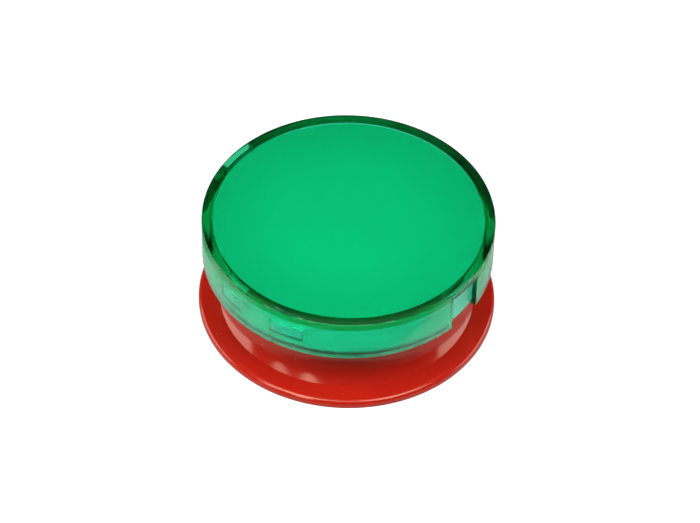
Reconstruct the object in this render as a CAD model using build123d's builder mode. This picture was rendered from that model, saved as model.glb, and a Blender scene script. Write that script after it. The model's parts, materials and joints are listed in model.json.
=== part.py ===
"""Illuminated signal push button: a clear green lens on a low flanged red housing, pressed straight down."""

import os
from math import cos, radians, sin

from build123d import *

os.makedirs("parts", exist_ok=True)

# All sizes are in millimetres. The origin is the centre of the flat underside, +Z is up and -Y is the front.
# Angles called "from the front" run from -Y towards +X.

# Overall sizes
overall_height = 12.0
lens_radius = 15.0
flange_reach = 2.2

# Lens: a thin flat clear plate with a skirt, pocketed inside for the latches
lens_depth = 5.0
lens_wall = 1.1
lens_plate = 0.35
lens_edge_break = 0.12
window_height = 1.5
window_drop = 2.2
window_depth = 0.3
window_angles = (-52.0, -24.2)
window_widths = (3.1, 3.5)
notch_angle = 53.2
notch_width = 4.05
notch_depth = 0.54
notch_ceiling = 0.75
notch_floor_lift = 0.45

# Housing: a hub that flares out to a thin flange
flange_thickness = 0.9
flange_round = 0.55
hub_gap = 1.27
flare_radius = 4.5
flare_angle = 45.0
hub_wall = 1.25
lip_thickness = 0.8
lip_reach = 1.1
guide_rib_width = 1.2
guide_rib_depth = 0.45

# Button travel and the clearances between pieces that move on each other
travel = 1.5
slide_clearance = 0.2
flange_clearance = 0.25
rib_clearance = 0.15
lens_clearance = 0.15
seal_clearance = 0.35
spring_clearance = 0.25
running_clearance = 0.05

# Diffuser, legend and latches
legend_thickness = 1.35
diffuser_plate = 1.0
diffuser_wall = 0.5
diffuser_lift = 0.3
latch_clearance = 0.1

# Carrier
carrier_flange = 1.0
neck_wall = 1.0
spoke_count = 3
spoke_width = 1.4
spoke_height = 1.0
boss_radius = 2.0
peg_radius = 0.35
peg_height = 0.6

# Base plate, inserts and seals
base_thickness = 1.2
base_step = 1.65
insert_circle_radius = 6.2
insert_count = 3
insert_first_angle = 90.0
insert_radius = 1.4
insert_length = 3.0
thread_radius = 0.8
insert_boss_wall = 0.6
insert_boss_roof = 0.2
shoulder_wall = 0.6
shoulder_height = 0.2
gasket_land = 1.0
gasket_width = 1.0
gasket_thickness = 0.4
seal_width = 1.1
seal_thickness = 0.45

# Circuit board and what is soldered to it
board_thickness = 1.0
board_hole_clearance = 0.1
lamp_circle_radius = 7.2
lamp_spread = 17.0
lamp_length = 2.0
lamp_width = 1.25
lamp_height = 0.5
lamp_window_radius = 0.5
lamp_window_height = 0.15
resistor_circle_radius = 5.2
resistor_length = 1.6
resistor_width = 0.8
resistor_height = 0.45
pin_count = 4
pin_pitch = 2.54
pin_radius = 0.45

# Switch
switch_width = 6.0
switch_corner = 0.4
switch_floor = 0.3
switch_cavity_radius = 2.5
switch_cover_thickness = 0.3
plunger_radius = 1.5
plunger_flange_radius = 2.2
plunger_flange = 0.5
dome_foot_radius = 2.3
dome_top_radius = 1.1
dome_wall = 0.25
dome_roof = 0.2
pill_radius = 0.75
pill_thickness = 0.1
contact_length = 0.7
contact_width = 1.2
contact_gap = 0.3
contact_thickness = 0.06
contact_end_gap = 0.04

# Return spring
spring_wire_radius = 0.22
spring_turns = 3.0
spring_end_gap = 0.02

# Heights worked out from the sizes above
lens_underside = overall_height - lens_plate
skirt_bottom = overall_height - lens_depth
window_middle = overall_height - window_drop - window_height / 2
diffuser_top = lens_underside - legend_thickness
diffuser_underside = diffuser_top - diffuser_plate
hub_height = diffuser_underside - travel - seal_clearance - seal_thickness
lip_underside = hub_height - lip_thickness
carrier_flange_underside = lip_underside - carrier_flange
spider_underside = diffuser_underside - spoke_height
board_underside = base_thickness + shoulder_height
board_top = board_underside + board_thickness
switch_floor_top = board_top + switch_floor
contact_travel = travel + contact_end_gap + contact_thickness + pill_thickness
switch_cavity_height = contact_travel + dome_roof + plunger_flange
switch_rim = switch_floor_top + switch_cavity_height
plunger_flange_underside = switch_rim - plunger_flange

# Radii worked out from the sizes above
lens_inner_radius = lens_radius - lens_wall
diffuser_radius = lens_inner_radius - lens_clearance
diffuser_inner_radius = diffuser_radius - diffuser_wall
hub_radius = diffuser_inner_radius - hub_gap
hub_foot_radius = hub_radius + flare_radius * (1 - cos(radians(flare_angle)))
flange_radius = hub_foot_radius + flange_reach
flare_top = flange_thickness + flare_radius * sin(radians(flare_angle))
bore_radius = hub_radius - hub_wall
lip_radius = bore_radius - lip_reach
base_radius = bore_radius + base_step
gasket_inner_radius = base_radius + gasket_land
neck_radius = lip_radius - slide_clearance
neck_inner_radius = neck_radius - neck_wall
spring_radius = bore_radius - guide_rib_depth - spring_clearance - spring_wire_radius
board_radius = spring_radius - spring_wire_radius - spring_clearance
insert_boss_radius = insert_radius + insert_boss_wall
shoulder_radius = insert_boss_radius + shoulder_wall
pin_positions = GridLocations(pin_pitch, 0, pin_count, 1)


def around(radius, front_angle, count=2):
    """Places evenly spaced round the axis, the first at an angle from the front."""
    return PolarLocations(radius, count, start_angle=front_angle - 90)


def draw_latches(front_angle, window_width):
    """Draws the plan of two opposite latches, from inside the diffuser's wall outwards."""
    with around(diffuser_radius, front_angle):
        Rectangle(2 * lens_wall, window_width - 2 * latch_clearance)
    Circle(diffuser_inner_radius, mode=Mode.SUBTRACT)


# The lens, with the open notches and latch windows of its skirt, each repeated on the far side
with BuildPart() as lens_cap:
    with BuildSketch(Plane.XY.offset(skirt_bottom)):
        Circle(lens_radius)
    extrude(amount=lens_depth)
    with BuildSketch(Plane.XY.offset(skirt_bottom)):
        Circle(lens_inner_radius)
    extrude(amount=lens_depth - lens_plate, mode=Mode.SUBTRACT)
    outer_edges = lens_cap.edges().filter_by(GeomType.CIRCLE).group_by(SortBy.RADIUS)[-1]
    chamfer(outer_edges, lens_edge_break)
    with BuildSketch(Plane.XY.offset(skirt_bottom)):
        with around(lens_radius, notch_angle):
            Rectangle(2 * lens_wall, notch_width)
        Circle(lens_radius - notch_depth, mode=Mode.SUBTRACT)
    extrude(amount=lens_depth - notch_ceiling, mode=Mode.SUBTRACT)
    with BuildSketch(Plane.XY.offset(skirt_bottom)):
        with around(lens_radius, notch_angle):
            Rectangle(3 * lens_wall, notch_width)
    extrude(amount=notch_floor_lift, mode=Mode.SUBTRACT)
    for window_angle, window_width in zip(window_angles, window_widths):
        with BuildSketch(Plane.XY.offset(window_middle)):
            with around(lens_inner_radius, window_angle):
                Rectangle(2 * window_depth, window_width)
        extrude(amount=window_height / 2, both=True, mode=Mode.SUBTRACT)
lens_cap.part.label = "lens_cap"

# The green legend insert that fills the lens between its plate and the diffuser
with BuildPart() as legend_disc:
    with BuildSketch(Plane.XY.offset(diffuser_top)):
        Circle(diffuser_radius)
    extrude(amount=legend_thickness)
legend_disc.part.label = "legend_disc"

# The white diffuser cup that backs the lens, with holes for its latches and for the carrier's pegs
with BuildPart() as diffuser_cup:
    with BuildSketch(Plane.XY.offset(skirt_bottom + diffuser_lift)):
        Circle(diffuser_radius)
    extrude(amount=diffuser_top - skirt_bottom - diffuser_lift)
    with BuildSketch(Plane.XY.offset(skirt_bottom + diffuser_lift)):
        Circle(diffuser_inner_radius)
    extrude(amount=diffuser_underside - skirt_bottom - diffuser_lift, mode=Mode.SUBTRACT)
    with BuildSketch(Plane.XY.offset(diffuser_underside)):
        with around(neck_radius - neck_wall / 2, 60, spoke_count):
            Circle(peg_radius + running_clearance)
    extrude(amount=peg_height + running_clearance, mode=Mode.SUBTRACT)
    for window_angle, window_width in zip(window_angles, window_widths):
        with BuildSketch(Plane.XY.offset(window_middle)):
            draw_latches(window_angle, window_width)
        extrude(amount=window_height / 2 - latch_clearance, both=True, mode=Mode.SUBTRACT)
diffuser_cup.part.label = "diffuser_cup"

# The latches that stand in the diffuser's wall and reach into the lens's windows
with BuildPart() as lens_latches:
    for window_angle, window_width in zip(window_angles, window_widths):
        with BuildSketch(Plane.XY.offset(window_middle)):
            draw_latches(window_angle, window_width)
        extrude(amount=window_height / 2 - latch_clearance, both=True)
    with BuildSketch(Plane.XY.offset(diffuser_underside)):
        Circle(lens_inner_radius + window_depth - latch_clearance)
    extrude(amount=diffuser_plate, both=True, mode=Mode.INTERSECT)
lens_latches.part.label = "lens_latches"

# The carrier: a stop flange under the housing's lip, a neck, and a spider that pushes the switch
with BuildPart() as button_carrier:
    with BuildSketch(Plane.XY.offset(carrier_flange_underside)):
        Circle(bore_radius - flange_clearance)
        with around(bore_radius, 120, spoke_count):
            Rectangle(
                2 * (guide_rib_depth + rib_clearance),
                guide_rib_width + 2 * rib_clearance,
                mode=Mode.SUBTRACT,
            )
        Circle(neck_inner_radius, mode=Mode.SUBTRACT)
    extrude(amount=carrier_flange)
    with BuildSketch(Plane.XY.offset(lip_underside)):
        Circle(neck_radius)
        Circle(neck_inner_radius, mode=Mode.SUBTRACT)
    extrude(amount=diffuser_underside - lip_underside)
    with BuildSketch(Plane.XY.offset(spider_underside)):
        Circle(boss_radius)
        with around(neck_inner_radius / 2, 60, spoke_count):
            Rectangle(neck_inner_radius + neck_wall, spoke_width)
    extrude(amount=spoke_height)
    with BuildSketch(Plane.XY.offset(diffuser_underside)):
        with around(neck_radius - neck_wall / 2, 60, spoke_count):
            Circle(peg_radius)
    extrude(amount=peg_height)
button_carrier.part.label = "button_carrier"

# The red housing: flange, flared hub, inner lip and guide ribs
with BuildPart() as flanged_housing:
    with BuildSketch(Plane.XZ):
        with BuildLine():
            Polyline((base_radius, 0), (flange_radius, 0), (flange_radius, flange_thickness - flange_round))
            ThreePointArc(
                (flange_radius, flange_thickness - flange_round),
                (
                    flange_radius - flange_round * (1 - cos(radians(45))),
                    flange_thickness - flange_round * (1 - sin(radians(45))),
                ),
                (flange_radius - flange_round, flange_thickness),
            )
            Line((flange_radius - flange_round, flange_thickness), (hub_foot_radius, flange_thickness))
            ThreePointArc(
                (hub_foot_radius, flange_thickness),
                (
                    hub_radius + flare_radius * (1 - cos(radians(flare_angle / 2))),
                    flare_top - flare_radius * sin(radians(flare_angle / 2)),
                ),
                (hub_radius, flare_top),
            )
            Polyline(
                (hub_radius, flare_top),
                (hub_radius, hub_height),
                (lip_radius, hub_height),
                (lip_radius, lip_underside),
                (bore_radius, lip_underside),
                (bore_radius, base_thickness),
                (base_radius, base_thickness),
                (base_radius, 0),
            )
        make_face()
    revolve(axis=Axis.Z)
    with BuildSketch():
        Circle(gasket_inner_radius + gasket_width)
        Circle(gasket_inner_radius, mode=Mode.SUBTRACT)
    extrude(amount=gasket_thickness, mode=Mode.SUBTRACT)
    with BuildSketch(Plane.XY.offset(base_thickness)):
        with around(bore_radius, 120, spoke_count):
            Rectangle(2 * guide_rib_depth, guide_rib_width)
    extrude(amount=lip_underside - base_thickness)
flanged_housing.part.label = "flanged_housing"

# The base plate pressed into the housing from below, with a boss round each threaded insert
with BuildPart() as base_plate:
    with BuildSketch():
        Circle(base_radius - running_clearance)
    extrude(amount=base_thickness)
    with BuildSketch(Plane.XY.offset(base_thickness)):
        with PolarLocations(insert_circle_radius, insert_count, start_angle=insert_first_angle):
            Circle(shoulder_radius)
    extrude(amount=shoulder_height)
    with BuildSketch(Plane.XY.offset(base_thickness)):
        with PolarLocations(insert_circle_radius, insert_count, start_angle=insert_first_angle):
            Circle(insert_boss_radius)
    extrude(amount=insert_length + insert_boss_roof - base_thickness)
    with BuildSketch():
        with PolarLocations(insert_circle_radius, insert_count, start_angle=insert_first_angle):
            Circle(insert_radius)
    extrude(amount=insert_length, mode=Mode.SUBTRACT)
    with BuildSketch():
        with pin_positions:
            Circle(pin_radius + running_clearance)
    extrude(amount=base_thickness, mode=Mode.SUBTRACT)
base_plate.part.label = "base_plate"

# The brass inserts that take the fixing screws from below
with BuildPart() as threaded_inserts:
    with BuildSketch():
        with PolarLocations(insert_circle_radius, insert_count, start_angle=insert_first_angle):
            Circle(insert_radius)
            Circle(thread_radius, mode=Mode.SUBTRACT)
    extrude(amount=insert_length)
threaded_inserts.part.label = "threaded_inserts"

# The flat gasket let into the flange's underside
with BuildPart() as panel_gasket:
    with BuildSketch():
        Circle(gasket_inner_radius + gasket_width)
        Circle(gasket_inner_radius, mode=Mode.SUBTRACT)
    extrude(amount=gasket_thickness)
panel_gasket.part.label = "panel_gasket"

# The rubber ring on the housing's lip that wipes the carrier's neck
with BuildPart() as dust_seal:
    with BuildSketch(Plane.XY.offset(hub_height)):
        Circle(neck_radius + running_clearance + seal_width)
        Circle(neck_radius + running_clearance, mode=Mode.SUBTRACT)
    extrude(amount=seal_thickness)
dust_seal.part.label = "dust_seal"

# The round circuit board on the base plate's shoulders
with BuildPart() as circuit_board:
    with BuildSketch(Plane.XY.offset(board_underside)):
        Circle(board_radius)
        with PolarLocations(insert_circle_radius, insert_count, start_angle=insert_first_angle):
            Circle(insert_boss_radius + board_hole_clearance, mode=Mode.SUBTRACT)
        with pin_positions:
            Circle(pin_radius + running_clearance, mode=Mode.SUBTRACT)
    extrude(amount=board_thickness)
circuit_board.part.label = "circuit_board"

# Lamps in pairs, midway between the inserts
lamp_places = [
    location
    for side in (-1, 1)
    for location in PolarLocations(
        lamp_circle_radius,
        insert_count,
        start_angle=insert_first_angle + 180 / insert_count + side * lamp_spread,
    )
]
with BuildPart() as led_chips:
    with BuildSketch(Plane.XY.offset(board_top)):
        with Locations(*lamp_places):
            Rectangle(lamp_width, lamp_length)
    extrude(amount=lamp_height)
led_chips.part.label = "led_chips"

with BuildPart() as led_windows:
    with BuildSketch(Plane.XY.offset(board_top + lamp_height)):
        with Locations(*lamp_places):
            Circle(lamp_window_radius)
    extrude(amount=lamp_window_height)
led_windows.part.label = "led_windows"

with BuildPart() as resistors:
    with BuildSketch(Plane.XY.offset(board_top)):
        with PolarLocations(
            resistor_circle_radius,
            insert_count,
            start_angle=insert_first_angle + 180 / insert_count,
        ):
            Rectangle(resistor_width, resistor_length)
    extrude(amount=resistor_height)
resistors.part.label = "resistors"

# Contact pins that run from the board's top to the underside
with BuildPart() as terminal_pins:
    with BuildSketch():
        with pin_positions:
            Circle(pin_radius)
    extrude(amount=board_top)
terminal_pins.part.label = "terminal_pins"

# The switch: a square body with a round cavity, closed by a metal cover
with BuildPart() as switch_body:
    with BuildSketch(Plane.XY.offset(board_top)):
        RectangleRounded(switch_width, switch_width, switch_corner)
    extrude(amount=switch_floor + switch_cavity_height)
    with BuildSketch(Plane.XY.offset(switch_floor_top)):
        Circle(switch_cavity_radius)
    extrude(amount=switch_cavity_height, mode=Mode.SUBTRACT)
switch_body.part.label = "switch_body"

with BuildPart() as switch_cover:
    with BuildSketch(Plane.XY.offset(switch_rim)):
        RectangleRounded(switch_width, switch_width, switch_corner)
        Circle(plunger_radius + running_clearance, mode=Mode.SUBTRACT)
    extrude(amount=switch_cover_thickness)
switch_cover.part.label = "switch_cover"

with BuildPart() as fixed_contacts:
    with BuildSketch(Plane.XY.offset(switch_floor_top)):
        with GridLocations(contact_length + contact_gap, 0, 2, 1):
            Rectangle(contact_length, contact_width)
    extrude(amount=contact_thickness)
fixed_contacts.part.label = "fixed_contacts"

# The plunger reaches from the spider's boss into the cavity, where its flange holds it
with BuildPart() as switch_plunger:
    with BuildSketch(Plane.XY.offset(plunger_flange_underside)):
        Circle(plunger_flange_radius)
    extrude(amount=plunger_flange)
    with BuildSketch(Plane.XY.offset(switch_rim)):
        Circle(plunger_radius)
    extrude(amount=spider_underside - switch_rim)
switch_plunger.part.label = "switch_plunger"

# The rubber dome under the plunger, with a carbon pill inside its roof
with BuildPart() as rubber_dome:
    with BuildSketch(Plane.XZ):
        with BuildLine():
            Polyline(
                (dome_foot_radius - dome_wall, switch_floor_top),
                (dome_foot_radius, switch_floor_top),
                (dome_top_radius, plunger_flange_underside),
                (0, plunger_flange_underside),
                (0, plunger_flange_underside - dome_roof),
                (dome_top_radius - dome_wall, plunger_flange_underside - dome_roof),
                close=True,
            )
        make_face()
    revolve(axis=Axis.Z)
rubber_dome.part.label = "rubber_dome"

with BuildPart() as contact_pill:
    with BuildSketch(Plane.XY.offset(plunger_flange_underside - dome_roof)):
        Circle(pill_radius)
    extrude(amount=-pill_thickness)
contact_pill.part.label = "contact_pill"

# The return spring round the board, from the base plate to the carrier's flange
spring_foot = base_thickness + spring_wire_radius + spring_end_gap
spring_height = carrier_flange_underside - spring_wire_radius - spring_end_gap - spring_foot
with BuildPart() as return_spring:
    with BuildLine():
        coil = Helix(spring_height / spring_turns, spring_height, spring_radius, center=(0, 0, spring_foot))
    with BuildSketch(Plane(origin=coil @ 0, z_dir=coil % 0)):
        Circle(spring_wire_radius)
    sweep(path=coil, is_frenet=True)
return_spring.part.label = "return_spring"

for piece in (
    lens_cap,
    legend_disc,
    diffuser_cup,
    lens_latches,
    button_carrier,
    flanged_housing,
    base_plate,
    threaded_inserts,
    panel_gasket,
    dust_seal,
    circuit_board,
    led_chips,
    led_windows,
    resistors,
    terminal_pins,
    switch_body,
    switch_cover,
    fixed_contacts,
    switch_plunger,
    rubber_dome,
    contact_pill,
    return_spring,
):
    export_step(piece.part, f"parts/{piece.part.label}.step")
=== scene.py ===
"""Looks of an illuminated push button: a clear green lens over a white cup and a flared red housing."""

import json
import math

import bmesh
import bpy
from mathutils import Matrix, Vector

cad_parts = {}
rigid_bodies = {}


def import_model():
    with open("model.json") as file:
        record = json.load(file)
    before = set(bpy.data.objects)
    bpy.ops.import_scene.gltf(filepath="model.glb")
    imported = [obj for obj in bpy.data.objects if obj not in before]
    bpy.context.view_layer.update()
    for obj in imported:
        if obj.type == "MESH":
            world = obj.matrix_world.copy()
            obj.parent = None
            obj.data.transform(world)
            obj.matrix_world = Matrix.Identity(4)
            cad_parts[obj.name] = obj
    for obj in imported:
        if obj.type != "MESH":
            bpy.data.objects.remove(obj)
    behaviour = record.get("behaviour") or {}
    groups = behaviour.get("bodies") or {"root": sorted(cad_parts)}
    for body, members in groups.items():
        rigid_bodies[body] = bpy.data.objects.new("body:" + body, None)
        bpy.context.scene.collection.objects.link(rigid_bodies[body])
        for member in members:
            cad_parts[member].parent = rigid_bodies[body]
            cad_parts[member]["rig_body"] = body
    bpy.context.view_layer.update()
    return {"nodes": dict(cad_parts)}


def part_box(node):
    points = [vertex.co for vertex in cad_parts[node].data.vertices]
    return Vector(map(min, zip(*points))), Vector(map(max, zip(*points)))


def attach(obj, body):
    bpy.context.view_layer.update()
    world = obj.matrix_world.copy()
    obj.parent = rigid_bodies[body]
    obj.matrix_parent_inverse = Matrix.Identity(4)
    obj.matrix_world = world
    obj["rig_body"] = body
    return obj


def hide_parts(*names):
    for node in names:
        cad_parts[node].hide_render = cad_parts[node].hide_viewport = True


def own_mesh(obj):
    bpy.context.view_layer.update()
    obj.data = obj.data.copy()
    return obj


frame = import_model()

# Sizes are in metres. Overall sizes are read from the frame; the rest are this object's own.
MM = 0.001
lens_low, lens_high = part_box("lens_cap")
cup_low, cup_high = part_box("diffuser_cup")
housing_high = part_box("flanged_housing")[1]
base_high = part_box("base_plate")[1]
gasket_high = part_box("panel_gasket")[1]
LENS_RADIUS = lens_high.x
LENS_TOP = lens_high.z
SKIRT_BOTTOM = lens_low.z
AIR_GAP = 0.05 * MM
LENS_PLATE = LENS_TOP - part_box("legend_disc")[1].z - AIR_GAP
LENS_WALL = 1.1 * MM
RIM_ROUND = 0.14 * MM
WINDOW_TOP = LENS_TOP - 2.2 * MM
WINDOW_HEIGHT = 1.5 * MM
WINDOW_DEPTH = 0.3 * MM
INSIDE_MATT = 0.65
SIDE_SATIN = 0.2
INSERT_GAP = 0.02 * MM
INSERT_RIM = 0.12 * MM
# Where the green insert's painted shade towards the rim begins, and how soft its step is.
INSERT_SHADE_RADIUS = 10.0 * MM
INSERT_SHADE_WIDTH = 9.0 * MM
CUP_WALL = 0.5 * MM
CUP_PLATE = 1.0 * MM
CUP_EDGE = 0.08 * MM
LATCH_CLEARANCE = 0.1 * MM
WINDOWS = ((-52.0, 3.1 * MM), (-24.2, 3.5 * MM))
# How strongly the window pockets' side walls are tinted dark: painted shade for their dark edges.
POCKET_EDGE_PAINTED_SHADE = 0.85
NOTCH_ANGLE = 53.2
NOTCH_WIDTH = 4.05 * MM
NOTCH_DEPTH = 0.54 * MM
NOTCH_CEILING = 0.75 * MM
NOTCH_LIFT = 0.45 * MM

FLANGE_RADIUS = housing_high.x
FLANGE_THICKNESS = 0.9 * MM
FLANGE_ROUND = 0.55 * MM
HOUSING_EDGE = 0.08 * MM
FLARE_RADIUS = 4.5 * MM
FLARE_ANGLE = 45.0
HUB_TOP = housing_high.z
HUB_FOOT = FLANGE_RADIUS - 2.2 * MM
HUB_RADIUS = HUB_FOOT - FLARE_RADIUS * (1 - math.cos(math.radians(FLARE_ANGLE)))
BORE_RADIUS = HUB_RADIUS - 1.25 * MM
LIP_RADIUS = BORE_RADIUS - 1.1 * MM
LIP_UNDERSIDE = HUB_TOP - 0.8 * MM
GUIDE_RIB_WIDTH = 1.2 * MM
GUIDE_RIB_DEPTH = 0.45 * MM
BASE_RADIUS = base_high.x + 0.05 * MM
BASE_THICKNESS = 1.2 * MM
BASE_EDGE = 0.15 * MM
BASE_RING = (9.3 * MM, 9.7 * MM)
BASE_RING_DEPTH = 0.1 * MM
EJECTOR_CIRCLE = 11 * MM
EJECTOR_RADIUS = 0.7 * MM
EJECTOR_DEPTH = 0.04 * MM
GROOVE_DEPTH = gasket_high.z
GROOVE_OUTER = gasket_high.x
GROOVE_INNER = GROOVE_OUTER - 1.0 * MM

SPRING_WIRE = 0.22 * MM
SPRING_TURNS = 3
SPRING_STEPS = 72
INSERT_CIRCLE = 6.2 * MM
INSERT_RADIUS = 1.4 * MM
INSERT_GROOVE = 0.6 * MM
THREAD_RADIUS = 0.8 * MM
THREAD_PITCH = 0.4 * MM
KNURL_STEPS = 64
BOSS_RADIUS = 2.0 * MM
BOSS_FOOT = 0.6 * MM
BOSS_STEP = 0.2 * MM
PIN_RADIUS = 0.45 * MM
PIN_PLACES = [((i - 1.5) * 2.54 * MM, 0) for i in range(4)]
PIN_DOME = 0.12 * MM
PIN_CLEARANCE = 0.05 * MM
DOME_TOP_RADIUS = 1.1 * MM
DOME_ROUND = 0.06 * MM
DOME_FOOT_WIDTH = 0.35 * MM
DOME_SEAT_DEPTH = 0.2 * MM
INSERT_EASE = 0.12 * MM
INSERT_WAIST = 0.2 * MM
KNURL_SCALE = 0.955
SEAL_WIDTH = 1.1 * MM
SEAL_ROUND = 0.1 * MM
BEAD_HEIGHT = 0.08 * MM
BEADS = 3
BEAD_STEPS = 36
CUT_MARGIN = 1.0 * MM

FLOOR_RADIUS = 0.6
FLOOR_OVERLAP = 0.1 * MM
FLOOR_STEP = 0.05 * MM
CARD_DROP = 0.02 * MM

TURN = 2 * math.pi
RING_STEPS = 360
SEAM = 1e-7


# ---------------------------------------------------------------- shaping


def arc(centre, radius, start, stop, count):
    """Points along an arc in the XZ plane, angles in degrees from +X towards +Z."""
    points = []
    for i in range(count + 1):
        angle = math.radians(start + (stop - start) * i / count)
        points.append((centre[0] + radius * math.cos(angle), centre[1] + radius * math.sin(angle)))
    return points


def finished(bm, name, material, body, sharp=30.0):
    """Makes a smooth-shaded object of a bmesh, with creases kept sharp, and gives it to a body."""
    mesh = bpy.data.meshes.new(name)
    bm.to_mesh(mesh)
    bm.free()
    mesh.shade_smooth()
    mesh.set_sharp_from_angle(angle=math.radians(sharp))
    piece = bpy.data.objects.new(name, mesh)
    bpy.context.scene.collection.objects.link(piece)
    mesh.materials.append(material)
    if body:
        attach(piece, body)
    return piece


def stand_in(piece, node):
    """The piece is shown instead of that CAD node, which is hidden."""
    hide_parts(node)
    return piece


def body_name(node):
    """The CAD body that a node belongs to."""
    return frame["nodes"][node]["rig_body"]


def lathe(outline, closed=False, steps=RING_STEPS):
    """Turns an outline of (radius, height) points once round the Z axis."""
    bm = bmesh.new()
    corners = [bm.verts.new((x, 0, z)) for x, z in outline]
    edges = [bm.edges.new(pair) for pair in zip(corners, corners[1:])]
    if closed:
        edges.append(bm.edges.new((corners[-1], corners[0])))
    bmesh.ops.spin(
        bm, geom=corners + edges, cent=(0, 0, 0), axis=(0, 0, 1), angle=TURN, steps=steps, use_merge=True
    )
    bmesh.ops.remove_doubles(bm, verts=bm.verts, dist=SEAM)
    bmesh.ops.recalc_face_normals(bm, faces=bm.faces)
    return bm


def blocks(radius, front_angle, size, middle, count=2):
    """Blocks evenly spaced round the axis; the first angle runs from the front towards +X."""
    bm = bmesh.new()
    for i in range(count):
        angle = math.radians(front_angle - 90 + 360 * i / count)
        place = Matrix.Rotation(angle, 4, "Z") @ Matrix.Translation((radius, 0, middle))
        bmesh.ops.create_cube(bm, size=1, matrix=place @ Matrix.Diagonal((*size, 1)))
    return bm


def copies(bm, places):
    """The same shape at each place, in one bmesh."""
    mesh = bpy.data.meshes.new("shape")
    bm.to_mesh(mesh)
    bm.free()
    placed = bmesh.new()
    for x, y in places:
        count = len(placed.verts)
        placed.from_mesh(mesh)
        placed.verts.ensure_lookup_table()
        bmesh.ops.translate(placed, verts=placed.verts[count:], vec=(x, y, 0))
    bpy.data.meshes.remove(mesh)
    return placed


def circle_of_places(radius, first_angle, count):
    """Evenly spaced places round the axis, from an angle that runs from +X towards the back."""
    turns = [math.radians(first_angle + 360 * i / count) for i in range(count)]
    return [(radius * math.cos(t), radius * math.sin(t)) for t in turns]


def combine(bm, tool, operation):
    """The union, difference or intersection of two closed shapes, as a new bmesh."""
    pair = []
    for shape in (bm, tool):
        mesh = bpy.data.meshes.new("shape")
        shape.to_mesh(mesh)
        shape.free()
        pair.append(bpy.data.objects.new("shape", mesh))
        bpy.context.scene.collection.objects.link(pair[-1])
    cut = pair[0].modifiers.new("cut", "BOOLEAN")
    cut.operation = operation
    cut.solver = "EXACT"
    cut.object = pair[1]
    bpy.context.view_layer.update()
    shaped = bpy.data.meshes.new_from_object(pair[0].evaluated_get(bpy.context.evaluated_depsgraph_get()))
    result = bmesh.new()
    result.from_mesh(shaped)
    for used in pair:
        bpy.data.meshes.remove(used.data)
    bpy.data.meshes.remove(shaped)
    bmesh.ops.remove_doubles(result, verts=result.verts, dist=SEAM)
    return result


# ---------------------------------------------------------------- materials


class Value:
    """A shader socket that Python's operators add Math nodes to."""

    def __init__(self, finish, socket):
        self.finish = finish
        self.socket = socket

    def _math(self, operation, first, second):
        node = self.finish.node("Math", {"operation": operation}, {0: first, 1: second})
        return Value(self.finish, node.outputs[0])

    def __add__(self, other):
        return self._math("ADD", self, other)

    def __sub__(self, other):
        return self._math("SUBTRACT", self, other)

    def __mul__(self, other):
        return self._math("MULTIPLY", self, other)

    def __rsub__(self, other):
        return self._math("SUBTRACT", other, self)

    __radd__ = __add__
    __rmul__ = __mul__

    def above(self, edge, width):
        """0 below the edge and 1 above it, over a soft step."""
        settings = {"interpolation_type": "SMOOTHSTEP"}
        inputs = {"Value": self, "From Min": edge - width / 2, "From Max": edge + width / 2}
        return Value(self.finish, self.finish.node("MapRange", settings, inputs).outputs["Result"])


class Finish:
    """A material built round one Principled shader."""

    def __init__(self, name):
        self.material = bpy.data.materials.new(name)
        self.material.use_nodes = True
        self.tree = self.material.node_tree
        self.shader = self.tree.nodes["Principled BSDF"]
        self.output = self.tree.nodes["Material Output"]
        self.place = self.node("TexCoord").outputs["Object"]

    def connect(self, socket, value):
        if isinstance(value, Value):
            self.tree.links.new(value.socket, socket)
        elif isinstance(value, bpy.types.NodeSocket):
            self.tree.links.new(value, socket)
        else:
            socket.default_value = value

    def node(self, kind, settings=None, inputs=None):
        prefix = "" if kind.startswith("ShaderNode") else "ShaderNode"
        if kind in ("Noise", "Voronoi", "Wave"):
            prefix = "ShaderNodeTex"
        made = self.tree.nodes.new(prefix + kind)
        for key, setting in (settings or {}).items():
            setattr(made, key, setting)
        for key, value in (inputs or {}).items():
            self.connect(made.inputs[key], value)
        return made

    def noise(self, scale, detail=2.0, roughness=0.5, stretch=(1, 1, 1)):
        """Noise of so many features a metre, from 0 to 1."""
        mapping = self.node("Mapping", None, {"Vector": self.place, "Scale": stretch})
        inputs = {"Vector": mapping.outputs[0], "Scale": scale, "Detail": detail, "Roughness": roughness}
        return Value(self, self.node("Noise", None, inputs).outputs[0])

    def cells(self, scale, randomness=1.0, feature="F1"):
        """Distance to the nearest of scattered points, of so many a metre."""
        inputs = {"Vector": self.place, "Scale": scale, "Randomness": randomness}
        return Value(self, self.node("Voronoi", {"feature": feature}, inputs).outputs["Distance"])

    def height(self):
        """Height above the underside, in metres."""
        return Value(self, self.node("SeparateXYZ", None, {"Vector": self.place}).outputs["Z"])

    def radius(self):
        """Distance from the axis, in metres."""
        plan = self.node("VectorMath", {"operation": "MULTIPLY"}, {0: self.place, 1: (1, 1, 0)}).outputs[0]
        return Value(self, self.node("VectorMath", {"operation": "LENGTH"}, {0: plan}).outputs["Value"])

    def mix(self, factor, first, second):
        """A colour between two colours."""
        return self.node("Mix", {"data_type": "RGBA"}, {0: factor, 6: first, 7: second}).outputs[2]

    def bump(self, height, distance):
        return self.node("Bump", None, {"Height": height, "Distance": distance}).outputs["Normal"]

    def set(self, **inputs):
        for key, value in inputs.items():
            self.connect(self.shader.inputs[key.replace("_", " ")], value)
        return self


def rgb(red, green, blue):
    return (red, green, blue, 1.0)


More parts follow.
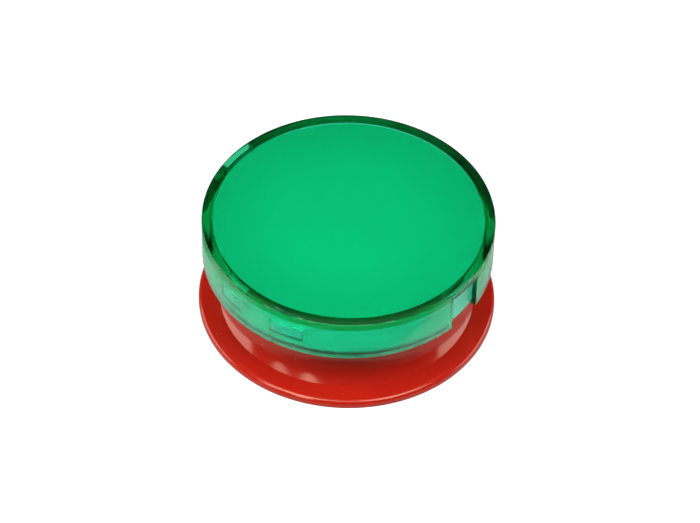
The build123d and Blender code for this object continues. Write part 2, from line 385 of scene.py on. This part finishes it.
def clear_green():
    """Clear green plastic that absorbs red first, then blue, along the light's path.

    The finish goes by place: polished on top, satin on the skirt's outer wall and matt inside the skirt
    below the windows. The side walls of the window pockets carry painted shade, a dark tint for their dark
    edges.
    """
    f = Finish("clear_green_plastic")
    smears = f.noise(350, 3.0, 0.55)
    hairlines = f.noise(900, 2.0, 0.5, (1, 14, 1))
    specks = 1 - f.cells(700).above(0.045, 0.02)
    skin = 0.04 * MM
    outer = f.radius().above(LENS_RADIUS - LENS_WALL + skin, skin)
    upper = f.height().above(WINDOW_TOP + 4 * skin, skin)
    side = outer * (1 - f.height().above(LENS_TOP - 2 * RIM_ROUND, RIM_ROUND))
    inside = (1 - outer) * (1 - upper)
    pocket_floor = LENS_RADIUS - LENS_WALL + WINDOW_DEPTH
    radius = f.radius()
    # Painted shade: a band on the window pockets' side walls, tinted dark in the base colour.
    edges = radius.above(pocket_floor - 4.5 * skin, skin) - radius.above(pocket_floor - skin, skin)
    clean = f.mix(specks * 0.25, rgb(1.0, 1.0, 1.0), rgb(0.75, 0.9, 0.8))
    f.set(
        Base_Color=f.mix(edges * POCKET_EDGE_PAINTED_SHADE, clean, rgb(0.02, 0.1, 0.06)),
        Roughness=smears * 0.02 + specks * 0.2 + inside * INSIDE_MATT + side * SIDE_SATIN,
        IOR=1.49,
        Transmission_Weight=1.0,
        Normal=f.bump(smears + hairlines * 0.15, 0.8e-6),
    )
    depth = f.node("VolumeAbsorption", None, {"Color": rgb(0.0, 0.939, 0.79), "Density": 1970.0})
    f.tree.links.new(depth.outputs[0], f.output.inputs["Volume"])
    return f.material


def moulded(name, colour, roughness, grain=9000, grain_height=1.2e-6, shade=0.1):
    """Moulded plastic: fine grain, faint flow shading and a few rubbed spots."""
    f = Finish(name)
    flow = f.noise(500, 4.0, 0.6)
    fine = f.noise(grain, 2.0, 0.6)
    rubbed = f.noise(1800, 5.0, 0.7, (1, 1, 3)).above(0.66, 0.08)
    darker = tuple(c * (1 - shade) for c in colour)
    lighter = tuple(min(1, c * (1 + shade)) for c in colour)
    f.set(
        Base_Color=f.mix(flow, rgb(*darker), rgb(*lighter)),
        Roughness=flow * 0.06 + rubbed * 0.1 + (roughness - 0.03),
        Normal=f.bump(fine, grain_height),
    )
    return f.material


def glossy_red():
    """Glossy red moulding with moulding waviness, hair scratches and dust."""
    f = Finish("glossy_red_plastic")
    flow = f.noise(260, 3.0, 0.5)
    fine = f.noise(12000, 2.0, 0.5)
    waves = f.noise(420, 1.0, 0.5)
    dust = 1 - f.cells(620).above(0.035, 0.02)
    scratches = f.noise(1500, 3.0, 0.6, (1, 12, 2)).above(0.74, 0.03)
    red = f.mix(flow, rgb(0.335, 0.009, 0.004), rgb(0.39, 0.0115, 0.005))
    f.set(
        Base_Color=f.mix(dust * 0.5 + scratches * 0.06, red, rgb(0.9, 0.35, 0.28)),
        Roughness=0.13 + flow * 0.05 + scratches * 0.12 + dust * 0.3,
        Specular_IOR_Level=0.5,
        Specular_Tint=rgb(1.0, 0.8, 0.6),
        Normal=f.bump(fine * 0.25 + waves, 1.0e-6),
    )
    return f.material


def milky_white(name, colour):
    """White moulding, satin all over, with faint flow shading."""
    f = Finish(name)
    flow = f.noise(300, 3.0, 0.5)
    fine = f.noise(9000, 2.0, 0.5)
    f.set(
        Base_Color=f.mix(flow, rgb(*(c * 0.975 for c in colour)), rgb(*colour)),
        Roughness=0.42 + flow * 0.1,
        Normal=f.bump(fine, 0.6e-6),
    )
    return f.material


def insert_green():
    """Green moulding, darker towards the rim as painted shade."""
    f = Finish("insert_green_plastic")
    flow = f.noise(220, 3.0, 0.5)
    fine = f.noise(8000, 2.0, 0.5)
    # Painted shade: the base colour darkens from the middle towards the rim.
    painted_rim_shade = f.radius().above(INSERT_SHADE_RADIUS, INSERT_SHADE_WIDTH)
    body = f.mix(painted_rim_shade, rgb(0.0, 0.595, 0.26), rgb(0.0, 0.51, 0.215))
    f.set(
        Base_Color=f.mix(flow * 0.12, body, rgb(0.0, 0.64, 0.285)),
        Roughness=0.5 + flow * 0.1,
        Specular_IOR_Level=0.1,
        Normal=f.bump(fine, 0.5e-6),
    )
    return f.material


def metal(name, colour, roughness, grain=(1, 1, 20)):
    """Bare or plated metal with drawn or turned marks."""
    f = Finish(name)
    drawn = f.noise(2500, 4.0, 0.6, grain)
    tarnish = f.noise(700, 5.0, 0.6)
    dull = tuple(c * 0.72 for c in colour)
    f.set(
        Base_Color=f.mix(tarnish.above(0.6, 0.3), rgb(*colour), rgb(*dull)),
        Metallic=1.0,
        Roughness=roughness + drawn * 0.15 + tarnish * 0.08,
        Normal=f.bump(drawn, 1.5e-6),
    )
    return f.material


def board_laminate():
    """Solder-masked laminate with raised lighter lines where copper tracks show through."""
    f = Finish("green_board_laminate")
    tracks = f.cells(420, 0.6, "DISTANCE_TO_EDGE").above(0.06, 0.015)
    weave = f.noise(9000, 1.0, 0.5)
    f.set(
        Base_Color=f.mix(tracks, rgb(0.05, 0.22, 0.08), rgb(0.015, 0.11, 0.045)),
        Roughness=0.25 + weave * 0.12,
        Normal=f.bump(weave * 0.2 - tracks, 8e-6),
    )
    return f.material


def rubber(name, colour, grain_height=4e-6):
    """Matt rubber with a dusty bloom."""
    f = Finish(name)
    bloom = f.noise(1400, 5.0, 0.65)
    grain = f.noise(14000, 2.0, 0.5)
    paler = tuple(c * 1.5 + 0.02 for c in colour)
    f.set(
        Base_Color=f.mix(bloom.above(0.55, 0.4), rgb(*colour), rgb(*paler)),
        Roughness=0.62 + bloom * 0.25,
        Normal=f.bump(grain, grain_height),
    )
    return f.material


# ---------------------------------------------------------------- pieces


def green_lens():
    """The lens: a flat plate and a skirt, with two notches outside and four window pockets inside."""
    inner = LENS_RADIUS - LENS_WALL
    outline = [(0, LENS_TOP), (LENS_RADIUS * 0.5, LENS_TOP), (LENS_RADIUS - 4 * RIM_ROUND, LENS_TOP)]
    outline += arc((LENS_RADIUS - RIM_ROUND, LENS_TOP - RIM_ROUND), RIM_ROUND, 90, 0, 3)
    outline += arc((LENS_RADIUS - RIM_ROUND, SKIRT_BOTTOM + RIM_ROUND), RIM_ROUND, 0, -90, 3)
    outline += [(inner, SKIRT_BOTTOM), (inner, LENS_TOP - LENS_PLATE), (0, LENS_TOP - LENS_PLATE)]
    lens = lathe(outline)

    floor_radius = LENS_RADIUS - NOTCH_DEPTH
    ceiling = LENS_TOP - NOTCH_CEILING
    bottom = SKIRT_BOTTOM - CUT_MARGIN
    outer = LENS_RADIUS + CUT_MARGIN
    ring = lathe(
        [(floor_radius, bottom), (outer, bottom), (outer, ceiling), (floor_radius, ceiling)], closed=True
    )
    block_size = (4 * LENS_WALL, NOTCH_WIDTH, 4 * (ceiling - bottom))
    block = blocks(LENS_RADIUS, NOTCH_ANGLE, block_size, ceiling)
    lens = combine(lens, combine(ring, block, "INTERSECT"), "DIFFERENCE")
    lift = (4 * LENS_WALL, NOTCH_WIDTH, NOTCH_LIFT + CUT_MARGIN)
    middle = SKIRT_BOTTOM + NOTCH_LIFT - (NOTCH_LIFT + CUT_MARGIN) / 2
    lens = combine(lens, blocks(LENS_RADIUS, NOTCH_ANGLE, lift, middle), "DIFFERENCE")
    for angle, width in WINDOWS:
        size = (2 * WINDOW_DEPTH, width, WINDOW_HEIGHT)
        cutter = blocks(inner, angle, size, WINDOW_TOP - WINDOW_HEIGHT / 2)
        lens = combine(lens, cutter, "DIFFERENCE")

    stand_in(finished(lens, "green_lens", clear_green(), body_name("lens_cap")), "lens_cap")


def legend_insert():
    """The green insert that fills the lens and stays on the diffuser, with a softened rim."""
    low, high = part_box("legend_disc")
    rim = INSERT_RIM
    radius = LENS_RADIUS - LENS_WALL - INSERT_GAP
    outline = [(0, high.z), (radius - rim, high.z)]
    outline += arc((radius - rim, high.z - rim), rim, 90, 0, 4)
    outline += arc((radius - rim, low.z + rim), rim, 0, -90, 4)
    outline += [(0, low.z)]
    piece = finished(lathe(outline), "legend_insert", insert_green(), body_name("legend_disc"))
    stand_in(piece, "legend_disc")


def white_diffuser():
    """The cup that backs the lens, with holes where its latches stand."""
    radius = cup_high.x
    inner = radius - CUP_WALL
    outline = [(0, cup_high.z), (radius - 4 * CUP_EDGE, cup_high.z)]
    outline += arc((radius - CUP_EDGE, cup_high.z - CUP_EDGE), CUP_EDGE, 90, 0, 3)
    outline += [(radius, cup_low.z), (inner, cup_low.z)]
    outline += [(inner, cup_high.z - CUP_PLATE), (0, cup_high.z - CUP_PLATE)]
    cup = lathe(outline)
    for angle, width in WINDOWS:
        size = (4 * CUP_WALL, width - 2 * LATCH_CLEARANCE, WINDOW_HEIGHT - 2 * LATCH_CLEARANCE)
        cutter = blocks(radius + 4 * LATCH_CLEARANCE, angle, size, WINDOW_TOP - WINDOW_HEIGHT / 2)
        cup = combine(cup, cutter, "DIFFERENCE")
    material = milky_white("diffuser_white_plastic", (0.86, 0.87, 0.86))
    piece = finished(cup, "white_diffuser", material, body_name("diffuser_cup"))
    stand_in(piece, "diffuser_cup")


def red_housing():
    """Flange with a rounded lip, flared hub, inner lip, guide ribs and the gasket's groove."""
    half = HUB_RADIUS + FLARE_RADIUS
    flare_top = FLANGE_THICKNESS + FLARE_RADIUS * math.sin(math.radians(FLARE_ANGLE))
    small = HOUSING_EDGE
    outline = [(BASE_RADIUS, 0), (GROOVE_INNER, 0), (GROOVE_INNER, GROOVE_DEPTH)]
    outline += [(GROOVE_OUTER, GROOVE_DEPTH), (GROOVE_OUTER, 0)]
    outline += arc((FLANGE_RADIUS - small, small), small, -90, 0, 3)
    outline += arc(
        (FLANGE_RADIUS - FLANGE_ROUND, FLANGE_THICKNESS - FLANGE_ROUND), FLANGE_ROUND, 0, 90, 10
    )
    outline += arc((half, flare_top), FLARE_RADIUS, 180 + FLARE_ANGLE, 180, 16)
    outline += arc((HUB_RADIUS - small, HUB_TOP - small), small, 0, 90, 3)
    outline += [(LIP_RADIUS, HUB_TOP), (LIP_RADIUS, LIP_UNDERSIDE), (BORE_RADIUS, LIP_UNDERSIDE)]
    outline += [(BORE_RADIUS, BASE_THICKNESS), (BASE_RADIUS, BASE_THICKNESS)]
    rib_height = LIP_UNDERSIDE - BASE_THICKNESS
    rib_size = (2 * GUIDE_RIB_DEPTH, GUIDE_RIB_WIDTH, rib_height - small)
    ribs = blocks(BORE_RADIUS, 120, rib_size, BASE_THICKNESS + rib_height / 2, count=3)
    housing = combine(lathe(outline, closed=True), ribs, "UNION")
    piece = finished(housing, "red_housing", glossy_red(), body_name("flanged_housing"), sharp=24)
    stand_in(piece, "flanged_housing")


def eased(node, name, material, width):
    """A node's own shape with its sharp edges softened, as moulded and stamped parts have them."""
    bm = bmesh.new()
    bm.from_mesh(frame["nodes"][node].data)
    bmesh.ops.remove_doubles(bm, verts=bm.verts, dist=10 * SEAM)
    bmesh.ops.dissolve_limit(bm, angle_limit=math.radians(1), verts=bm.verts, edges=bm.edges)
    sharp = [e for e in bm.edges if len(e.link_faces) == 2 and e.calc_face_angle(0) > math.radians(35)]
    bmesh.ops.bevel(
        bm, geom=sharp, offset=width, segments=2, profile=0.5, affect="EDGES", clamp_overlap=True,
        material=-1,
    )
    return stand_in(finished(bm, name, material, body_name(node)), node)


def coil_spring(material):
    """Return spring of round wire, with half a flat coil at each end."""
    low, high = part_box("return_spring")
    bm = bmesh.new()
    start = Matrix.Translation((high.x - SPRING_WIRE, 0, low.z + SPRING_WIRE))
    upright = Matrix.Rotation(math.radians(90), 4, "X")
    bmesh.ops.create_circle(bm, segments=14, radius=SPRING_WIRE, matrix=start @ upright)
    section = [*bm.verts, *bm.edges]
    rise = high.z - low.z - 2 * SPRING_WIRE
    for turns, climb in ((0.5, 0), (SPRING_TURNS, rise), (0.5, 0)):
        steps = round(turns * SPRING_STEPS)
        spun = bmesh.ops.spin(
            bm, geom=section, cent=(0, 0, 0), dvec=(0, 0, climb / steps), axis=(0, 0, 1),
            angle=TURN * turns, steps=steps, use_merge=False,
        )
        section = spun["geom_last"]
    bmesh.ops.holes_fill(bm, edges=[e for e in bm.edges if e.is_boundary])
    bmesh.ops.recalc_face_normals(bm, faces=bm.faces)
    piece = stand_in(finished(bm, "coil_spring", material, "housing"), "return_spring")
    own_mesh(piece)


def silicone_dome(material):
    """Dome with a foot ring, a thin cone and a flat boss that carries the pill."""
    low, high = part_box("rubber_dome")
    foot, top = high.x, DOME_TOP_RADIUS
    seat = high.z - DOME_SEAT_DEPTH
    outline = [(0, seat), (0.8 * MM, seat), (0.92 * MM, high.z - 0.42 * MM)]
    outline += [(foot - DOME_FOOT_WIDTH - 0.1 * MM, low.z + 0.2 * MM), (foot - DOME_FOOT_WIDTH, low.z)]
    outline += [(foot, low.z), (foot, low.z + 0.22 * MM), (foot - 0.2 * MM, low.z + 0.3 * MM)]
    outline += [(top + 0.05 * MM, high.z - 0.34 * MM), (top, high.z - 0.25 * MM)]
    outline += arc((top - DOME_ROUND, high.z - DOME_ROUND), DOME_ROUND, 0, 90, 3) + [(0, high.z)]
    dome = finished(lathe(outline, steps=96), "silicone_dome", material, body_name("rubber_dome"))
    stand_in(dome, "rubber_dome")
    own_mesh(dome)


def brass_inserts(material):
    """Three pressed-in inserts: two knurled bands, a groove between them and a cut thread."""
    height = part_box("threaded_inserts")[1].z
    outer, waist, ease = INSERT_RADIUS, INSERT_RADIUS - INSERT_WAIST, INSERT_EASE
    groove = (height - INSERT_GROOVE) / 2
    outline = [(THREAD_RADIUS + ease, 0), (outer - ease, 0), (outer, ease), (outer, groove)]
    outline += [(waist, groove + 0.1 * MM), (waist, height - groove - 0.1 * MM)]
    outline += [(outer, height - groove), (outer, height - ease), (outer - ease, height)]
    outline += [(THREAD_RADIUS + ease, height)]
    threads = round((height - 2 * ease) / THREAD_PITCH)
    for i in range(threads):
        middle = height - ease - (i + 0.5) * THREAD_PITCH
        outline += [(THREAD_RADIUS, middle + 0.2 * THREAD_PITCH), (THREAD_RADIUS, middle)]
        outline += [(THREAD_RADIUS + 0.3 * THREAD_PITCH, middle - 0.4 * THREAD_PITCH)]
    insert = lathe(outline, closed=True, steps=KNURL_STEPS)
    for v in insert.verts:
        step = round(math.atan2(v.co.y, v.co.x) / TURN * KNURL_STEPS)
        if v.co.xy.length > outer - 0.02 * MM and step % 2:
            v.co.xy *= KNURL_SCALE
    inserts = copies(insert, circle_of_places(INSERT_CIRCLE, 90, 3))
    stand_in(finished(inserts, "brass_inserts", material, "housing"), "threaded_inserts")


def column(radius, top):
    """The outline of a round cutter that starts below the underside."""
    return [(0, -CUT_MARGIN), (radius, -CUT_MARGIN), (radius, top), (0, top)]


def base_moulding(material):
    """Base plate: a broken rim, a shallow ring and ejector marks below, bosses above."""
    rim, edge = base_high.x, BASE_EDGE
    ring_inner, ring_outer = BASE_RING
    outline = [(0, 0), (ring_inner, 0), (ring_inner, BASE_RING_DEPTH), (ring_outer, BASE_RING_DEPTH)]
    outline += [(ring_outer, 0), (rim - edge, 0), (rim, edge), (rim, BASE_THICKNESS), (0, BASE_THICKNESS)]
    boss_low, boss_step = BASE_THICKNESS - edge, BASE_THICKNESS + BOSS_STEP
    boss = [(0, boss_low), (BOSS_RADIUS + BOSS_FOOT, boss_low), (BOSS_RADIUS + BOSS_FOOT, boss_step)]
    boss += [(BOSS_RADIUS, boss_step), (BOSS_RADIUS, base_high.z - edge)]
    boss += [(BOSS_RADIUS - edge, base_high.z), (0, base_high.z)]
    insert_hole = column(INSERT_RADIUS, base_high.z - BOSS_STEP)
    pin_hole = column(PIN_RADIUS + PIN_CLEARANCE, 2 * BASE_THICKNESS)
    mark = column(EJECTOR_RADIUS, EJECTOR_DEPTH)
    plate = lathe(outline)
    around = circle_of_places(INSERT_CIRCLE, 90, 3)
    plate = combine(plate, copies(lathe(boss, steps=96), around), "UNION")
    plate = combine(plate, copies(lathe(insert_hole, steps=96), around), "DIFFERENCE")
    plate = combine(plate, copies(lathe(pin_hole, steps=48), PIN_PLACES), "DIFFERENCE")
    marks = copies(lathe(mark, steps=48), circle_of_places(EJECTOR_CIRCLE, 45, 4))
    plate = combine(plate, marks, "DIFFERENCE")
    stand_in(finished(plate, "base_moulding", material, "housing"), "base_plate")


def contact_pins(material):
    """Four round pins with domed ends, flush with the underside."""
    top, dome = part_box("terminal_pins")[1].z, PIN_DOME
    outline = [(0, 0), (PIN_RADIUS - dome, 0), (PIN_RADIUS, dome), (PIN_RADIUS, top - dome)]
    outline += [(PIN_RADIUS - dome, top), (0, top)]
    pins = copies(lathe(outline, steps=48), PIN_PLACES)
    stand_in(finished(pins, "contact_pins", material, "housing"), "terminal_pins")


def beaded_gasket(material):
    """Flat gasket with three sealing beads on its underside."""
    outline = [(GROOVE_INNER, GROOVE_DEPTH), (GROOVE_OUTER, GROOVE_DEPTH)]
    for i in range(BEAD_STEPS + 1):
        share = i / BEAD_STEPS
        lift = BEAD_HEIGHT * (0.5 + 0.5 * math.cos(TURN * BEADS * share))
        outline.append((GROOVE_OUTER - share * (GROOVE_OUTER - GROOVE_INNER), lift))
    ring = finished(lathe(outline, closed=True), "beaded_gasket", material, "housing", sharp=50)
    stand_in(ring, "panel_gasket")


def lipped_seal(material):
    """Dust seal with a thin lip that wipes the carrier's neck."""
    low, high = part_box("dust_seal")
    outer, inner, soft = high.x, high.x - SEAL_WIDTH, SEAL_ROUND
    outline = [(inner, high.z - 0.16 * MM), (inner + 0.3 * MM, low.z), (outer, low.z)]
    outline += arc((outer - soft, high.z - soft), soft, 0, 90, 4)
    outline += [(inner + 0.45 * MM, high.z), (inner + 0.3 * MM, high.z - 0.12 * MM)]
    outline += [(inner, high.z - 0.04 * MM)]
    ring = finished(lathe(outline, closed=True), "lipped_seal", material, body_name("dust_seal"))
    stand_in(ring, "dust_seal")


green_lens()
legend_insert()
white_diffuser()
red_housing()
coil_spring(metal("spring_bright_wire", (0.62, 0.62, 0.63), 0.18))
silicone_dome(rubber("dome_silicone", (0.5, 0.5, 0.48), 1e-6))
brass_inserts(metal("insert_turned_brass", (0.72, 0.52, 0.22), 0.25, (1, 1, 8)))
base_moulding(moulded("base_black_plastic", (0.022, 0.022, 0.025), 0.5, 7000, 5e-6, 0.25))
contact_pins(metal("plated_brass", (0.83, 0.63, 0.28), 0.2))
beaded_gasket(rubber("gasket_black_rubber", (0.018, 0.018, 0.018)))
lipped_seal(rubber("seal_black_rubber", (0.03, 0.03, 0.03)))

# Node, piece, material, slot and how far the sharp edges are eased, in millimetres.
PLAIN_PIECES = (
    ("lens_latches", "snap_latches", milky_white("latch_white_plastic", (0.84, 0.86, 0.85)),
     "latch_white", 0.05),
    ("button_carrier", "white_carrier", moulded("carrier_white_plastic", (0.78, 0.78, 0.75), 0.4),
     "carrier_white", 0.1),
    ("circuit_board", "round_board", board_laminate(), "board_green", 0.06),
    ("led_chips", "lamp_bodies", moulded("lamp_white_plastic", (0.8, 0.8, 0.77), 0.35),
     "lamp_white", 0.06),
    ("led_windows", "lamp_windows", moulded("lamp_yellow_resin", (0.82, 0.66, 0.16), 0.2),
     "lamp_phosphor", 0.04),
    ("resistors", "chip_resistors",
     moulded("resistor_black_glaze", (0.02, 0.02, 0.022), 0.3, 12000, 2e-6, 0.3), "resistor_black", 0.06),
    ("switch_body", "switch_case",
     moulded("switch_black_plastic", (0.025, 0.025, 0.027), 0.45, 8000, 3e-6, 0.25), "switch_black", 0.12),
    ("switch_cover", "switch_lid", metal("cover_stamped_steel", (0.6, 0.6, 0.61), 0.28, (1, 16, 1)),
     "cover_steel", 0.05),
    ("switch_plunger", "ivory_plunger", moulded("plunger_ivory_plastic", (0.72, 0.66, 0.5), 0.35),
     "plunger_ivory", 0.1),
    ("contact_pill", "carbon_pill", rubber("pill_carbon_rubber", (0.015, 0.015, 0.015)),
     "pill_carbon", 0.02),
    ("fixed_contacts", "gold_contacts", metal("contact_gold_plate", (0.95, 0.72, 0.32), 0.15),
     "contact_gold", 0.015),
)
for node, name, material, slot, ease in PLAIN_PIECES:
    eased(node, name, material, ease * MM)


# ---------------------------------------------------------------- floor, light and camera


def floor_disc(name, drop, colour, glow):
    """A wide ring of floor, open under the object: its underside is seen and lit from below."""
    bm = lathe([(FLANGE_RADIUS - 2 * FLOOR_OVERLAP, -drop), (FLOOR_RADIUS, -drop)], steps=96)
    surface = Finish(name)
    grain = surface.noise(900, 2.0, 0.5)
    surface.set(
        Base_Color=surface.mix(grain, rgb(*(0.97 * c for c in colour)), rgb(*colour)),
        Roughness=0.9,
        Specular_IOR_Level=0.0,
        Emission_Color=rgb(1, 1, 1),
        Emission_Strength=glow,
    )
    piece = finished(bm, name, surface.material, None)
    return piece


def floor():
    """A pale floor: an evenly white ring for the camera, and one below it that lights the object."""
    shown = floor_disc("floor", 0, (0.3, 0.3, 0.3), 0.93)
    shown.visible_glossy = False
    shown.visible_diffuse = False
    shown.visible_transmission = False
    shown.visible_shadow = False
    bounce = floor_disc("bounce_floor", FLOOR_STEP, (0.55, 0.55, 0.55), 0)
    bounce.visible_camera = False


def card(name, place, half_size, material):
    """A card that the camera doesn't see: it darkens or tints what the lens and the glossy faces show."""
    bm = bmesh.new()
    matrix = place @ Matrix.Diagonal((*half_size, 1, 1))
    bmesh.ops.create_grid(bm, x_segments=1, y_segments=1, size=1, matrix=matrix)
    piece = finished(bm, name, material, None)
    piece.visible_camera = False


def cards():
    """Black cards before the skirt, lying and standing, and a green one behind the rear notch. The lying
    one is painted shadow: a dark sheet where the floor before the object lies in shade.
    """
    black = moulded("flag_and_shadow_black_card", (0.05, 0.05, 0.05), 0.8)
    green = moulded("flag_green_card", (0.08, 0.4, 0.22), 0.8)
    # Painted shadow: a dark sheet on the floor before the object, in place of the shade that falls there.
    card("front_painted_shadow_card", Matrix.Translation((0, -0.038, -CARD_DROP)), (0.045, 0.02), black)
    upright = Matrix.Rotation(math.radians(90), 4, "X")
    card("front_screen", Matrix.Translation((0, -0.06, 0.0091)) @ upright, (0.06, 0.009), black)
    notch_side = Matrix.Rotation(math.radians(NOTCH_ANGLE + 90), 4, "Z")
    behind = notch_side @ Matrix.Translation((0.031, 0, -CARD_DROP))
    card("notch_flag", behind, (0.012, 0.014), green)


def look_at(obj, place, target, roll=0.0):
    obj.location = place
    turn = (Vector(target) - Vector(place)).to_track_quat("-Z", "Y")
    obj.rotation_euler = (turn.to_matrix() @ Matrix.Rotation(roll, 3, "Z")).to_euler()


def direction(azimuth, elevation):
    """A unit vector; azimuth 0 is the front and runs towards +X."""
    a, e = math.radians(azimuth), math.radians(elevation)
    return Vector((math.sin(a) * math.cos(e), -math.cos(a) * math.cos(e), math.sin(e)))


def softbox(name, azimuth, elevation, distance, size, power, shape="DISK", middle=(0, 0, 0.006)):
    light = bpy.data.lights.new(name, "AREA")
    light.shape = shape
    light.size = size[0]
    if shape in ("RECTANGLE", "ELLIPSE"):
        light.size_y = size[1]
    light.energy = power
    obj = bpy.data.objects.new(name, light)
    bpy.context.scene.collection.objects.link(obj)
    look_at(obj, Vector(middle) + direction(azimuth, elevation) * distance, middle)
    return obj


def flare_point(front_angle, tilt):
    """The point of the housing's flare whose normal rises by that tilt, and the normal."""
    t = math.radians(tilt)
    out = HUB_RADIUS + FLARE_RADIUS * (1 - math.cos(t))
    up = FLANGE_THICKNESS + FLARE_RADIUS * (math.sin(math.radians(FLARE_ANGLE)) - math.sin(t))
    return direction(front_angle, 0) * out + Vector((0, 0, up)), direction(front_angle, tilt)


def glint_lamp(name, front_angle, tilt, distance, size, power):
    """A tall lamp that the flare mirrors to the main view at that point."""
    point, normal = flare_point(front_angle, tilt)
    view = (camera_place() - point).normalized()
    way = 2 * normal.dot(view) * normal - view
    lamp = softbox(name, 0, 0, distance, size, power, "ELLIPSE")
    look_at(lamp, point + way * distance, point)


def studio():
    """Soft boxes round the object, a strip low in front, a lamp below and two for the flare's glints."""
    softbox("overhead", 180, 80, 0.45, (0.5,), 0.2)
    softbox("top_fill", -4, 64, 0.5, (0.5, 0.2), 1.0, "RECTANGLE")
    softbox("left_key", -48, 57, 0.45, (0.22, 0.22), 1.1, "RECTANGLE")
    softbox("right_key", 48, 57, 0.45, (0.22, 0.22), 1.1, "RECTANGLE")
    softbox("left_box", -100, 13, 0.4, (0.3, 0.16), 0.66, "RECTANGLE")
    softbox("right_box", 100, 13, 0.4, (0.3, 0.16), 0.66, "RECTANGLE")
    softbox("front_strip", 0, 14, 0.4, (0.48, 0.03), 1.35, "RECTANGLE")
    softbox("under_fill", 20, -70, 0.4, (0.3,), 2.2)
    softbox("back_strip", 180, 10, 0.4, (0.3, 0.08), 0.5, "RECTANGLE")
    for i, (angle, power) in enumerate(((-15.5, 0.15), (-29.5, 0.12))):
        glint_lamp(f"left_lamp_{i}", angle, 43.5, 0.3, (0.055, 0.19), power)
    world = bpy.data.worlds.new("studio")
    world.use_nodes = True
    world.node_tree.nodes["Background"].inputs["Color"].default_value = rgb(1, 1, 1)
    world.node_tree.nodes["Background"].inputs["Strength"].default_value = 0.025
    bpy.context.scene.world = world


CAMERA_ELEVATION = 46.5
CAMERA_ROLL = -1.6
CAMERA_DISTANCE = 20 * LENS_RADIUS
CAMERA_TARGET = Vector((0.00026, 0, 0.38 * LENS_RADIUS - 0.0004))
CAMERA_LENS = 149.0


def camera_place():
    return CAMERA_TARGET + direction(0, CAMERA_ELEVATION) * CAMERA_DISTANCE


def camera():
    """A long lens, looking down at the front, with a slight roll."""
    data = bpy.data.cameras.new("camera")
    data.lens = CAMERA_LENS
    data.sensor_width = 36.0
    data.clip_start = 0.01
    obj = bpy.data.objects.new("camera", data)
    bpy.context.scene.collection.objects.link(obj)
    look_at(obj, camera_place(), CAMERA_TARGET, math.radians(-CAMERA_ROLL))
    bpy.context.scene.camera = obj


floor()
cards()
studio()
camera()
bpy.context.scene.view_settings.view_transform = "Standard"
